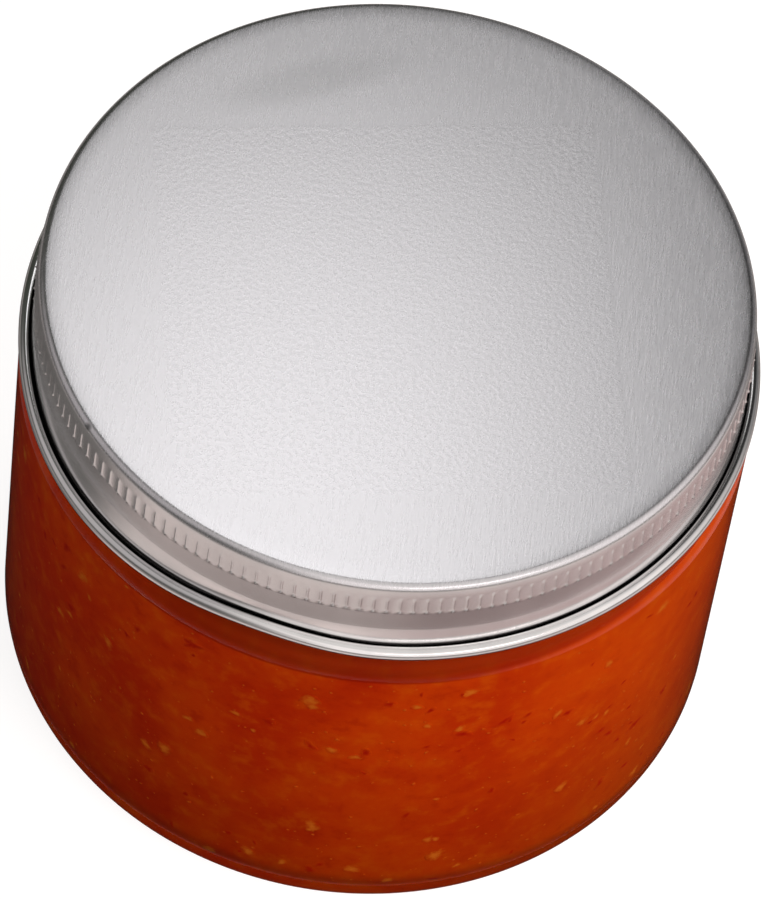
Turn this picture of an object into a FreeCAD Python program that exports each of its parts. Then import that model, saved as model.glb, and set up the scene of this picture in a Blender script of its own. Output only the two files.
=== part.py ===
import FreeCAD, Part
import os

import Sketcher
from FreeCAD import Placement, Rotation, Vector

# A jar of chili sauce, shut: a low straight-sided jar of clear glass, the sauce that
# fills it and a screw lid of thin aluminium.  +Z is up.  The origin is the centre of
# the jar's base, on the surface that it stands on.  All sizes are in millimetres.

# Driving sizes, each written once here and read from the sheet everywhere else.
SIZES = {
    # the jar
    "jar_height": 73.0,           # base to rim
    "body_radius": 45.9,          # outside of the straight wall
    "wall": 2.4,                  # straight wall
    "base_thickness": 2.7,
    "heel_round": 6.5,            # outside, where the wall turns into the base
    "inner_heel_round": 5.0,      # inside, which leaves the heel a little thicker
    "neck_wall": 2.5,
    "shoulder_gap": 0.95,         # the curl's lowest point down to where the shoulder starts
    "shoulder_drop": 2.8,         # height of the slope from the neck to the wall
    "shoulder_thickness": 1.2,    # the inner slope lies this much lower than the outer
    "neck_root_round": 1.0,
    "shoulder_round": 2.4,
    "rim_round": 0.9,
    # the sauce
    "headspace": 3.5,             # rim down to the sauce's level
    # the lid
    "sheet": 0.35,
    "neck_clearance": 0.5,        # between the neck and the inside of the skirt
    "lid_depth": 13.6,            # panel down to the lowest point of the curl
    "curl_overhang": 0.2,         # how far the curl stands out past the jar's wall
    "curl_round": 0.95,           # outer radius of the rolled edge's section
    "crown_round": 1.0,           # panel to skirt
    "crown_taper": 0.15,          # the plain band under the panel widens by this
    "rib_start": 2.1,             # depth below the panel of the ribs' upper ends
    "rib_end": 5.1,               # and of their lower ends
    "rib_band_taper": 0.2,        # the ribbed band widens by this
    "rib_band_step": 0.1,         # and stands out from the plain band under it
    "rib_depth": 0.3,
    "rib_width": 0.8,
    "rib_tip_width": 0.4,
    "rib_count": 174,
    "crease_depth": 8.7,          # depth below the panel of the fold line
    "flare": 0.2,                 # the band below the fold widens by this
    "flare_end": 11.2,            # depth at which it is upright again
}

# Sizes that follow from them.
DERIVED = {
    # heights
    "lid_top": "jar_height + sheet",
    "shoulder_top": "lid_top - lid_depth - shoulder_gap",
    "shoulder_foot": "shoulder_top - shoulder_drop",
    "inner_shoulder_top": "shoulder_top - shoulder_thickness",
    "inner_shoulder_foot": "shoulder_foot - shoulder_thickness",
    "sauce_level": "jar_height - headspace",
    "curl_height": "lid_top - lid_depth + curl_round",
    "rib_top_height": "lid_top - rib_start",
    "rib_foot_height": "lid_top - rib_end",
    "crease_height": "lid_top - crease_depth",
    "flare_foot_height": "lid_top - flare_end",
    # radii, from the jar's wall out to the curl and back up the lid's skirt
    "curl_centre": "body_radius + curl_overhang - curl_round",
    "curl_inner_round": "curl_round - sheet",
    "skirt_foot": "curl_centre - curl_round + sheet",
    "skirt_waist": "skirt_foot - flare",
    "rib_band_foot": "skirt_waist + rib_band_step",
    "rib_band_top": "rib_band_foot - rib_band_taper",
    "crown_radius": "rib_band_top - crown_taper",
    "rib_crest": "rib_band_foot + rib_depth",
    "rib_root": "rib_band_top - sheet / 2",
    "neck_radius": "skirt_waist - sheet - neck_clearance",
    "neck_bore": "neck_radius - neck_wall",
    "body_bore": "body_radius - wall",
    "rib_half_width": "rib_width / 2",
    "rib_half_tip": "rib_tip_width / 2",
}

TOLERANCE = 1e-4

doc = FreeCAD.newDocument("chili_sauce_jar")


def make_sheet():
    """The sheet of sizes: a column of plain numbers, then one of formulas."""
    sheet = doc.addObject("Spreadsheet::Sheet", "sizes")
    for row, (name, number) in enumerate(SIZES.items(), start=1):
        sheet.set(f"A{row}", name)
        sheet.set(f"B{row}", str(number))
        sheet.setAlias(f"B{row}", name)
    for row, (name, formula) in enumerate(DERIVED.items(), start=1):
        sheet.set(f"D{row}", name)
        sheet.set(f"E{row}", "=" + formula)
        sheet.setAlias(f"E{row}", name)
    doc.recompute()
    return sheet


sizes = make_sheet()


def size(name):
    """The value of a size in the sheet."""
    return float(getattr(sizes, name))


def make_body(name):
    """An empty body whose label is the node's name."""
    body = doc.addObject("PartDesign::Body", name)
    body.Label = name
    body.Placement = Placement(Vector(0, 0, 0), Rotation())
    return body


def origin_feature(body, role):
    """One of a body's own origin planes or axes, such as XZ_Plane."""
    return next(item for item in body.Origin.OriginFeatures if item.Role == role)


def new_sketch(body, name, plane):
    """An empty sketch on one of the body's origin planes."""
    sketch = body.newObject("Sketcher::SketchObject", name)
    sketch.AttachmentSupport = [(origin_feature(body, plane), "")]
    sketch.MapMode = "FlatFace"
    return sketch


def bind(sketch, kind, first, second, expression):
    """A distance between two sketch points, bound to an expression over the sheet."""
    value = float(sketch.evalExpression(expression))
    index = sketch.addConstraint(Sketcher.Constraint(kind, *first, *second, value))
    label = f"{kind.lower()}_{index}"
    sketch.renameConstraint(index, label)
    sketch.setExpression(f"Constraints.{label}", expression)


def place_point(sketch, point, across, up):
    """Fixes a sketch point at the expressions across and up, measured from the origin."""
    origin = (-1, 1)
    horizontal_axis = -1
    vertical_axis = -2
    if across == "0" and up == "0":
        sketch.addConstraint(Sketcher.Constraint("Coincident", *point, *origin))
        return
    if across == "0":
        sketch.addConstraint(Sketcher.Constraint("PointOnObject", *point, vertical_axis))
    else:
        bind(sketch, "DistanceX", origin, point, across)
    if up == "0":
        sketch.addConstraint(Sketcher.Constraint("PointOnObject", *point, horizontal_axis))
    else:
        bind(sketch, "DistanceY", origin, point, up)


def outline_sketch(body, name, plane, corners):
    """A closed outline of straight edges; each corner is a pair of expressions."""
    sketch = new_sketch(body, name, plane)
    points = []
    for across, up in corners:
        points.append(Vector(sketch.evalExpression(across), sketch.evalExpression(up), 0))
    count = len(points)
    for index in range(count):
        edge = Part.LineSegment(points[index], points[(index + 1) % count])
        sketch.addGeometry(edge, False)
    for index in range(count):
        following = (index + 1) % count
        sketch.addConstraint(Sketcher.Constraint("Coincident", index, 2, following, 1))
    for index, (across, up) in enumerate(corners):
        place_point(sketch, (index, 1), across, up)
    return sketch


def revolve(body, name, sketch):
    """The sketch turned all the way round the vertical axis."""
    solid = body.newObject("PartDesign::Revolution", name)
    solid.Profile = sketch
    solid.ReferenceAxis = (sketch, ["V_Axis"])
    solid.Angle = 360.0
    doc.recompute()
    return solid


def ring_edge(feature, radius_name, height_name):
    """The name of the circular edge that has this radius and height."""
    radius = size(radius_name)
    height = size(height_name) if height_name else 0.0
    for index, edge in enumerate(feature.Shape.Edges, start=1):
        curve = edge.Curve
        if not isinstance(curve, Part.Circle):
            continue
        near = abs(curve.Radius - radius) < TOLERANCE
        if near and abs(curve.Center.z - height) < TOLERANCE:
            return f"Edge{index}"
    raise ValueError(f"no ring edge at {radius_name}, {height_name}")


def round_rings(body, base, name, rings, round_name):
    """Rounds circular edges, given as pairs of size names, to a size in the sheet."""
    fillet = body.newObject("PartDesign::Fillet", name)
    fillet.Base = (base, [ring_edge(base, *ring) for ring in rings])
    fillet.setExpression("Radius", f"sizes.{round_name}")
    doc.recompute()
    return fillet


def make_jar():
    """The glass jar: one revolved wall with a neck, a shoulder and a thick heel."""
    body = make_body("jar")
    corners = [
        ("0", "0"),
        ("sizes.body_radius", "0"),
        ("sizes.body_radius", "sizes.shoulder_foot"),
        ("sizes.neck_radius", "sizes.shoulder_top"),
        ("sizes.neck_radius", "sizes.jar_height"),
        ("sizes.neck_bore", "sizes.jar_height"),
        ("sizes.neck_bore", "sizes.inner_shoulder_top"),
        ("sizes.body_bore", "sizes.inner_shoulder_foot"),
        ("sizes.body_bore", "sizes.base_thickness"),
        ("0", "sizes.base_thickness"),
    ]
    outline = outline_sketch(body, "jar_outline", "XZ_Plane", corners)
    wall = revolve(body, "jar_wall", outline)
    step = round_rings(body, wall, "jar_heel", [("body_radius", None)], "heel_round")
    step = round_rings(body, step, "jar_shoulder", [("body_radius", "shoulder_foot")], "shoulder_round")
    step = round_rings(body, step, "jar_neck_root", [("neck_radius", "shoulder_top")], "neck_root_round")
    rim_rings = [("neck_radius", "jar_height"), ("neck_bore", "jar_height")]
    step = round_rings(body, step, "jar_rim", rim_rings, "rim_round")
    return round_inside(body, step, "jar")


def round_inside(body, base, prefix):
    """The rounds of the jar's inner surface, which the sauce shares."""
    heel = [("body_bore", "base_thickness")]
    shoulder = [("body_bore", "inner_shoulder_foot")]
    neck = [("neck_bore", "inner_shoulder_top")]
    step = round_rings(body, base, f"{prefix}_inner_heel", heel, "inner_heel_round")
    step = round_rings(body, step, f"{prefix}_inner_shoulder", shoulder, "shoulder_round")
    round_rings(body, step, f"{prefix}_inner_neck", neck, "neck_root_round")
    return body


def make_sauce():
    """The sauce: everything inside the jar up to its level."""
    body = make_body("sauce")
    corners = [
        ("0", "sizes.base_thickness"),
        ("sizes.body_bore", "sizes.base_thickness"),
        ("sizes.body_bore", "sizes.inner_shoulder_foot"),
        ("sizes.neck_bore", "sizes.inner_shoulder_top"),
        ("sizes.neck_bore", "sizes.sauce_level"),
        ("0", "sizes.sauce_level"),
    ]
    outline = outline_sketch(body, "sauce_outline", "XZ_Plane", corners)
    fill = revolve(body, "sauce_fill", outline)
    return round_inside(body, fill, "sauce")


def make_lid():
    """The aluminium lid: a drawn cap, its outward curl and the ribs for the grip."""
    body = make_body("lid")
    outside = [
        ("sizes.crown_radius", "sizes.lid_top"),
        ("sizes.rib_band_top", "sizes.rib_top_height"),
        ("sizes.rib_band_foot", "sizes.rib_foot_height"),
        ("sizes.skirt_waist", "sizes.rib_foot_height - sizes.rib_band_step"),
        ("sizes.skirt_waist", "sizes.crease_height"),
        ("sizes.skirt_foot", "sizes.flare_foot_height"),
        ("sizes.skirt_foot", "sizes.curl_height"),
    ]
    inside = [(f"{across} - sizes.sheet", up) for across, up in reversed(outside[1:])]
    crown_corner = ("sizes.crown_radius - sizes.sheet", "sizes.jar_height")
    corners = [("0", "sizes.lid_top")] + outside + inside + [crown_corner, ("0", "sizes.jar_height")]
    outline = outline_sketch(body, "lid_outline", "XZ_Plane", corners)
    shell = revolve(body, "lid_shell", outline)
    crown = round_rings(body, shell, "lid_crown", [("crown_radius", "lid_top")], "crown_round")
    revolve(body, "lid_curl", curl_sketch(body))
    make_ribs(body)
    return body


def curl_sketch(body):
    """The rolled edge: the skirt's sheet turned outwards and up, open at its top."""
    sketch = new_sketch(body, "curl_outline", "XZ_Plane")
    centre = Vector(size("curl_centre"), size("curl_height"), 0)
    outer_round = size("curl_round")
    inner_round = size("curl_inner_round")
    upright = Vector(0, 0, 1)
    start = FreeCAD.Units.Quantity("180 deg").getValueAs("rad").Value
    end = FreeCAD.Units.Quantity("450 deg").getValueAs("rad").Value
    outer = sketch.addGeometry(Part.ArcOfCircle(Part.Circle(centre, upright, outer_round), start, end))
    inner = sketch.addGeometry(Part.ArcOfCircle(Part.Circle(centre, upright, inner_round), start, end))
    low_edge = Part.LineSegment(centre + Vector(-outer_round, 0, 0), centre + Vector(-inner_round, 0, 0))
    high_edge = Part.LineSegment(centre + Vector(0, outer_round, 0), centre + Vector(0, inner_round, 0))
    foot = sketch.addGeometry(low_edge)
    tip = sketch.addGeometry(high_edge)
    for arc_point, edge_point in [
        ((outer, 1), (foot, 1)),
        ((inner, 1), (foot, 2)),
        ((outer, 2), (tip, 1)),
        ((inner, 2), (tip, 2)),
    ]:
        sketch.addConstraint(Sketcher.Constraint("Coincident", *arc_point, *edge_point))
    sketch.addConstraint(Sketcher.Constraint("Coincident", outer, 3, inner, 3))
    sketch.addConstraint(Sketcher.Constraint("Horizontal", outer, 1, outer, 3))
    sketch.addConstraint(Sketcher.Constraint("Horizontal", foot))
    sketch.addConstraint(Sketcher.Constraint("Vertical", outer, 2, outer, 3))
    sketch.addConstraint(Sketcher.Constraint("Vertical", tip))
    place_point(sketch, (outer, 3), "sizes.curl_centre", "sizes.curl_height")
    for arc, name in ((outer, "curl_round"), (inner, "curl_inner_round")):
        index = sketch.addConstraint(Sketcher.Constraint("Radius", arc, size(name)))
        sketch.renameConstraint(index, name)
        sketch.setExpression(f"Constraints.{name}", f"sizes.{name}")
    return sketch


def make_ribs(body):
    """Upright ribs round the skirt: one padded rib, repeated by a polar pattern."""
    corners = [
        ("sizes.rib_root", "-sizes.rib_half_width"),
        ("sizes.rib_band_top", "-sizes.rib_half_width"),
        ("sizes.rib_crest", "-sizes.rib_half_tip"),
        ("sizes.rib_crest", "sizes.rib_half_tip"),
        ("sizes.rib_band_top", "sizes.rib_half_width"),
        ("sizes.rib_root", "sizes.rib_half_width"),
    ]
    section = outline_sketch(body, "rib_section", "XY_Plane", corners)
    section.setExpression("AttachmentOffset.Base.z", "sizes.rib_foot_height")
    rib = body.newObject("PartDesign::Pad", "rib")
    rib.Profile = section
    rib.setExpression("Length", "sizes.rib_top_height - sizes.rib_foot_height")
    doc.recompute()
    ribs = body.newObject("PartDesign::PolarPattern", "ribs")
    ribs.Originals = [rib]
    ribs.Axis = (origin_feature(body, "Z_Axis"), [""])
    ribs.Angle = 360.0
    ribs.setExpression("Occurrences", "sizes.rib_count")
    body.Tip = ribs
    doc.recompute()
    return ribs


def check(bodies):
    """Stops if any object failed or any sub-part's shape isn't one valid solid."""
    for item in doc.Objects:
        if "Invalid" in item.State or "Error" in item.State:
            raise RuntimeError(f"{item.Name} failed: {item.State}")
    for body in bodies:
        shape = body.Shape
        if shape.isNull() or not shape.isValid() or len(shape.Solids) != 1:
            raise RuntimeError(f"{body.Label} isn't one valid solid")


def export(bodies):
    """Writes each sub-part to parts/NODE.step and prints its box and volume."""
    os.makedirs("parts", exist_ok=True)
    for body in bodies:
        shape = body.Shape
        shape.exportStep(f"parts/{body.Label}.step")
        box = shape.BoundBox
        print(
            f"{body.Label}: {box.XLength:.2f} x {box.YLength:.2f} x {box.ZLength:.2f} mm,"
            f" from {box.ZMin:.2f}, {shape.Volume / 1000:.2f} cm3, {len(shape.Faces)} faces"
        )


sub_parts = [make_jar(), make_sauce(), make_lid()]
doc.recompute()
check(sub_parts)
export(sub_parts)
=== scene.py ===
# %% [markdown]
# # A jar of chili sauce
#
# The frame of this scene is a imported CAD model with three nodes: `jar`, `sauce` and
# `lid`.  Everything here is made in metres, in that frame, with +Z up and the jar
# standing on z = 0.  The CAD solids give the sizes; the pieces made below stand for
# them and add what a buyer would see: brushed metal, clear glass and a sauce with
# seeds and bits of chilli in it.

# %% Load the frame
import math

import bpy
import numpy as np
from mathutils import Matrix, Vector


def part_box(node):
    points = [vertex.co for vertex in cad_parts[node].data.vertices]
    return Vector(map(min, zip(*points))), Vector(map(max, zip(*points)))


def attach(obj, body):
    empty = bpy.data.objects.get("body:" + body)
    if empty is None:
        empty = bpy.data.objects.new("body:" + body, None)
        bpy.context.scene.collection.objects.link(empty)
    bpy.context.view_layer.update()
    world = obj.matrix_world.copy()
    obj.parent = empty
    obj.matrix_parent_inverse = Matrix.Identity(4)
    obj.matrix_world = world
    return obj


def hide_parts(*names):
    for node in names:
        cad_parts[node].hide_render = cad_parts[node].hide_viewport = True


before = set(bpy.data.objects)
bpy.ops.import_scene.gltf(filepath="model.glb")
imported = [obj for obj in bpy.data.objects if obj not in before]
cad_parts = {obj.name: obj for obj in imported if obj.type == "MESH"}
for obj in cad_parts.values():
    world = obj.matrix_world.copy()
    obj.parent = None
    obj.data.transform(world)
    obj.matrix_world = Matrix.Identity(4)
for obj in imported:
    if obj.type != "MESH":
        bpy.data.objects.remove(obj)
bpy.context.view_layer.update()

# %% [markdown]
# ## Sizes
#
# The overall sizes are read from the nodes' boxes, so the looks follow the CAD model.
# What a box can't tell, such as the thickness of a sheet or where a fold lies, is a
# named value in millimetres, turned to metres once.

# %% Sizes from the frame
MM = 0.001
lid_low, lid_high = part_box("lid")
jar_low, jar_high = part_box("jar")
sauce_low, sauce_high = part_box("sauce")

LID_TOP = lid_high[2]
LID_FOOT = lid_low[2]
CURL_REACH = min(-lid_low[0], -lid_low[1], lid_high[0], lid_high[1])
JAR_TOP = jar_high[2]
JAR_RADIUS = jar_high[0]
SAUCE_FLOOR = sauce_low[2]
SAUCE_TOP = sauce_high[2]
SAUCE_RADIUS = sauce_high[0]
print(f"lid {2 * CURL_REACH / MM:.1f} mm over the curl, jar {2 * JAR_RADIUS / MM:.1f} mm wide")

# %% Sizes of the lid's sheet
SHEET = 0.35 * MM
CURL_ROUND = 0.95 * MM
CROWN_ROUND = 1.0 * MM
EDGE_WIDTH = 3.6 * MM
EDGE_DROP = 0.075 * MM
CURL_CENTRE = CURL_REACH - CURL_ROUND
CURL_HEIGHT = LID_FOOT + CURL_ROUND
CURL_ROOT_HEIGHT = CURL_HEIGHT + 0.05 * MM
SKIRT_FOOT = CURL_CENTRE - CURL_ROUND + SHEET
SKIRT_WAIST = SKIRT_FOOT - 0.2 * MM
BAND_FOOT = SKIRT_WAIST + 0.03 * MM
BAND_TOP = BAND_FOOT - 0.13 * MM
CROWN_RADIUS = BAND_TOP - 0.15 * MM
RIB_TOP_HEIGHT = LID_TOP - 2.1 * MM
RIB_FOOT_HEIGHT = LID_TOP - 5.1 * MM
CREASE_HEIGHT = LID_TOP - 8.7 * MM
FLARE_FOOT_HEIGHT = LID_TOP - 11.2 * MM
RIBS = 174

# %% Sizes of the glass
NECK_CLEARANCE = 0.5 * MM
NECK_WALL = 2.5 * MM
SHOULDER_GAP = 0.95 * MM
SHOULDER_DROP = 2.8 * MM
SHOULDER_DEPTH = 1.2 * MM
NECK_RADIUS = SKIRT_WAIST - SHEET - NECK_CLEARANCE
NECK_BORE = NECK_RADIUS - NECK_WALL
SHOULDER_TOP = LID_FOOT - SHOULDER_GAP
SHOULDER_FOOT = SHOULDER_TOP - SHOULDER_DROP
SHOULDER_BORE_TOP = SHOULDER_TOP - SHOULDER_DEPTH
SHOULDER_BORE_FOOT = SHOULDER_FOOT - SHOULDER_DEPTH
HEEL_ROUND = 6.5 * MM
INNER_HEEL_ROUND = 5.0 * MM
SHOULDER_ROUND = 2.4 * MM
NECK_ROOT_ROUND = 1.0 * MM
RIM_ROUND = 0.9 * MM

# %% [markdown]
# ## Turned shapes
#
# A jar, a lid and the sauce that fills the jar are all round about one axis.  A lathe
# (the Screw or Spin tool) would do it, but a grid of points worked out with numpy also
# lets the radius change round the axis, which the lid's ribs need.  So a turned shape
# here is a list of rings: each ring is a row of points at one place of the outline.
# Two rings with as many points are joined by quads.  Where one ring has a few times
# more points, as at the edge of the ribbed band, the join is a row of small fans, so
# the finer ring costs nothing elsewhere.

# %% Outlines with rounded corners
def rounded(corners, steps=10):
    """An outline through corners, each (across, up, round).

    Formula: a corner with a round r between two straight edges is replaced by the arc
    that touches both edges.  Its ends lie r / tan(half the angle) from the corner, and
    the arc turns evenly from one end to the other.
    """
    points = []
    for index, (across, up, radius) in enumerate(corners):
        corner = np.array([across, up])
        if radius == 0 or index in (0, len(corners) - 1):
            points.append(corner)
            continue
        before = np.array(corners[index - 1][:2]) - corner
        after = np.array(corners[index + 1][:2]) - corner
        before /= np.linalg.norm(before)
        after /= np.linalg.norm(after)
        half = 0.5 * math.acos(np.clip(before @ after, -1, 1))
        middle = (before + after) / np.linalg.norm(before + after)
        centre = corner + middle * radius / math.sin(half)
        start = corner + before * radius / math.tan(half) - centre
        end = corner + after * radius / math.tan(half) - centre
        sweep = math.pi - 2 * half
        share = np.linspace(0, 1, steps + 1)[:, None]
        bow = (np.sin((1 - share) * sweep) * start + np.sin(share * sweep) * end) / math.sin(sweep)
        points.extend(centre + bow)
    return np.array(points)


def spread(outline, longest):
    """The same outline with its long edges divided, so that no edge exceeds longest."""
    pieces = [outline[:1]]
    for start, end in zip(outline[:-1], outline[1:]):
        count = max(1, math.ceil(np.linalg.norm(end - start) / longest))
        share = np.linspace(0, 1, count + 1)[1:, None]
        pieces.append(start + (end - start) * share)
    return np.concatenate(pieces)


def ring(radius, height, angles):
    """A row of points round the axis: x = r cos a, y = r sin a, z = height."""
    angles = np.asarray(angles)
    radius = np.broadcast_to(radius, angles.shape)
    height = np.broadcast_to(height, angles.shape)
    return np.stack([radius * np.cos(angles), radius * np.sin(angles), height], axis=1)


def even_angles(count):
    """Angles spread evenly over one turn."""
    return np.arange(count) * (2 * math.pi / count)


# %% Joining rings into a closed skin
def join_equal(low, high, count):
    """Quads between two rings of the same count, whose first points are low and high."""
    here = np.arange(count)
    after = (here + 1) % count
    return np.stack([low + here, low + after, high + after, high + here], axis=1)


def join_fans(coarse, fine, coarse_count, times, coarse_is_low):
    """Triangles between a coarse ring and one with times as many points.

    Each coarse point carries the half of the fine edges that lies nearest to it, and
    one triangle in the middle of each coarse edge closes the gap.
    """
    edge = np.arange(coarse_count)
    half = times // 2
    triangles = []
    for step in range(times):
        apex = edge if step < half else (edge + 1) % coarse_count
        first = fine + edge * times + step
        second = fine + (edge * times + step + 1) % (coarse_count * times)
        triangles.append(np.stack([coarse + apex, first, second], axis=1))
    middle = fine + edge * times + half
    after = (edge + 1) % coarse_count
    triangles.append(np.stack([coarse + edge, middle, coarse + after], axis=1))
    triangles = np.concatenate(triangles)
    return triangles[:, ::-1] if coarse_is_low else triangles


def join_pole(pole, first, count, pole_is_low):
    """Triangles from a single point on the axis to the ring next to it."""
    here = np.arange(count)
    after = (here + 1) % count
    triangles = np.stack([np.full(count, pole), first + after, first + here], axis=1)
    return triangles if pole_is_low else triangles[:, ::-1]


def skin(rows):
    """Points and faces of a closed skin through rings that start and end on the axis.

    Rings run so that the solid lies to the left of the outline, which turns every face
    outwards.
    """
    counts = [len(row) for row in rows]
    starts = np.concatenate([[0], np.cumsum(counts)[:-1]])
    faces = []
    for index in range(len(rows) - 1):
        low, high = int(starts[index]), int(starts[index + 1])
        low_count, high_count = counts[index], counts[index + 1]
        if low_count == 1:
            faces.append(join_pole(low, high, high_count, True))
        elif high_count == 1:
            faces.append(join_pole(high, low, low_count, False))
        elif low_count == high_count:
            faces.append(join_equal(low, high, low_count))
        elif low_count < high_count:
            faces.append(join_fans(low, high, low_count, high_count // low_count, True))
        else:
            faces.append(join_fans(high, low, high_count, low_count // high_count, False))
    return np.concatenate(rows), faces


def make_piece(name, points, faces, material):
    """A smooth mesh object from an array of points and a list of face arrays."""
    corner_lists = [np.asarray(block) for block in faces]
    sizes = np.concatenate([np.full(len(block), block.shape[1]) for block in corner_lists])
    corners = np.concatenate([block.ravel() for block in corner_lists])
    mesh = bpy.data.meshes.new(name)
    mesh.vertices.add(len(points))
    mesh.vertices.foreach_set("co", np.asarray(points, dtype=np.float32).ravel())
    mesh.loops.add(len(corners))
    mesh.loops.foreach_set("vertex_index", corners.astype(np.int32))
    mesh.polygons.add(len(sizes))
    mesh.polygons.foreach_set("loop_start", (np.cumsum(sizes) - sizes).astype(np.int32))
    mesh.polygons.foreach_set("use_smooth", np.full(len(sizes), True))
    mesh.update(calc_edges=True)
    mesh.validate()
    mesh.materials.append(material)
    piece = bpy.data.objects.new(name, mesh)
    bpy.context.scene.collection.objects.link(piece)
    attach(piece, "root")
    print(f"{name}: {len(points)} points, {int((sizes - 2).sum())} triangles")
    return piece


# %% [markdown]
# ## Small helpers for materials
#
# Every finish below is a handful of nodes.  These helpers keep the node wiring short,
# so that each material reads as a list of what the surface is made of.

# %% Node helpers
def new_material(name):
    """A material with only a Principled shader and an output; returns its tree too."""
    material = bpy.data.materials.new(name)
    material.use_nodes = True
    tree = material.node_tree
    shader = tree.nodes["Principled BSDF"]
    return material, tree, shader


def add_node(tree, kind, inputs=None, **settings):
    """A node with its settings made and its inputs set to values or linked to sockets."""
    node = tree.nodes.new(kind)
    for name, value in settings.items():
        setattr(node, name, value)
    for name, value in (inputs or {}).items():
        if isinstance(value, bpy.types.NodeSocket):
            tree.links.new(value, node.inputs[name])
        else:
            node.inputs[name].default_value = value
    return node


def maths(tree, operation, first, second=0.5):
    """The result of a Math node on two values or sockets; ABSOLUTE needs only the first."""
    node = add_node(tree, "ShaderNodeMath", operation=operation)
    for index, value in enumerate((first, second)):
        if isinstance(value, bpy.types.NodeSocket):
            tree.links.new(value, node.inputs[index])
        else:
            node.inputs[index].default_value = value
    return node.outputs[0]


def ease(tree, value, start, end, low=0.0, high=1.0):
    """value mapped smoothly from start..end to low..high, and held outside."""
    node = add_node(
        tree,
        "ShaderNodeMapRange",
        {"Value": value, "From Min": start, "From Max": end, "To Min": low, "To Max": high},
        interpolation_type="SMOOTHSTEP",
    )
    return node.outputs["Result"]


def blend_colours(tree, share, first, second, kind="MIX"):
    """A colour between two colours or sockets, or their product and so on."""
    node = add_node(tree, "ShaderNodeMix", data_type="RGBA", blend_type=kind)
    for index, value in ((0, share), (6, first), (7, second)):
        if isinstance(value, bpy.types.NodeSocket):
            tree.links.new(value, node.inputs[index])
        else:
            node.inputs[index].default_value = value
    return node.outputs[2]


def blend_values(tree, share, first, second):
    """A number between two numbers or sockets."""
    inputs = {"Factor": share, "A": first, "B": second}
    return add_node(tree, "ShaderNodeMix", inputs, data_type="FLOAT").outputs[0]


def measure(tree, operation, place, other=(0.0, 0.0, 0.0)):
    """The number that a Vector Math node gives, such as LENGTH or DOT_PRODUCT."""
    inputs = {0: place, 1: other}
    return add_node(tree, "ShaderNodeVectorMath", inputs, operation=operation).outputs["Value"]


def noise(tree, place, scale, detail=2.0, roughness=0.5):
    """The value of a noise texture with this many cells to the metre."""
    node = add_node(
        tree,
        "ShaderNodeTexNoise",
        {"Vector": place, "Scale": scale, "Detail": detail, "Roughness": roughness},
    )
    return node.outputs["Fac"]


# %% [markdown]
# ## The lid's metal
#
# The lid is drawn from thin aluminium sheet with a brushed top.  The brush leaves short
# fine streaks, all nearly one way, so the material stretches a noise along that way and
# uses it for a little colour, roughness and bump.  In the middle of the top lies a
# square field with no streaks but an even fine grain, which differs more from light to
# dark than the streaks do.  A soft mask in the object's own coordinates chooses between
# the two.  Two more masks lay a dull smear over the panel and one dark nick at its edge.
# The skirt has no streaks and is smoother.
#
# Little light gets in where the sheet folds back on itself, so painted shade darkens
# the metal there.  An attribute of the mesh, fold, tells the material where to darken.

# %% The lid's metal
BRUSH_LEAN = math.radians(-13)
FIELD_HALF = 27.6 * MM
FIELD_CENTRE = (-0.9 * MM, -3.4 * MM)
FIELD_TURN = math.radians(10.7)
SMEAR = ((-26 * MM, 24 * MM), (-3 * MM, 35 * MM))
SMEAR_HALF_WIDTH = 5.0 * MM
SMEAR_REACH_SHARE = 0.75
NICK = (-34.8 * MM, -27.2 * MM)
NICK_RADIUS = 0.9 * MM
STREAKS_PER_METRE = 3400.0
STREAK_SQUEEZE = 0.13
GRAINS_PER_METRE = 1650.0
STREAK_CONTRAST, GRAIN_CONTRAST = 0.32, 0.6
BRUSH_DEPTH = 0.04 * MM

BRUSHED_DARK = (0.64, 0.62, 0.64, 1)
BRUSHED_LIGHT = (0.98, 0.955, 0.98, 1)
SKIRT_DARK = (0.86, 0.845, 0.845, 1)
SKIRT_LIGHT = (0.94, 0.925, 0.925, 1)
SMEAR_GREY = (0.30, 0.30, 0.29, 1)
# Colour of the painted shade in the folds.
FOLD_PAINTED_SHADE = (0.12, 0.115, 0.11, 1)
NICK_SHADE = (0.09, 0.09, 0.085, 1)


def square_mask(tree, place):
    """1 inside the square field and 0 outside, with an edge about a millimetre soft."""
    turned = add_node(
        tree,
        "ShaderNodeMapping",
        {"Vector": place, "Location": (*FIELD_CENTRE, 0.0), "Rotation": (0.0, 0.0, FIELD_TURN)},
        vector_type="TEXTURE",
    )
    parts = add_node(tree, "ShaderNodeSeparateXYZ", {"Vector": turned.outputs[0]})
    mask = None
    for name in ("X", "Y"):
        size = maths(tree, "ABSOLUTE", parts.outputs[name])
        inside = ease(tree, size, FIELD_HALF - 0.6 * MM, FIELD_HALF + 0.6 * MM, 1.0, 0.0)
        mask = inside if mask is None else maths(tree, "MULTIPLY", mask, inside)
    return mask


def smear_mask(tree, place):
    """1 on a soft diagonal smear of the panel: a long narrow ellipse, faded outwards."""
    (x0, y0), (x1, y1) = SMEAR
    turned = add_node(
        tree,
        "ShaderNodeMapping",
        {
            "Vector": place,
            "Location": (0.5 * (x0 + x1), 0.5 * (y0 + y1), LID_TOP),
            "Rotation": (0.0, 0.0, math.atan2(y1 - y0, x1 - x0)),
            "Scale": (
                SMEAR_REACH_SHARE * math.hypot(x1 - x0, y1 - y0),
                SMEAR_HALF_WIDTH,
                SMEAR_HALF_WIDTH,
            ),
        },
        vector_type="TEXTURE",
    )
    away = measure(tree, "LENGTH", turned.outputs[0])
    return ease(tree, away, 0.1, 1.0, 1.0, 0.0)


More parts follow.
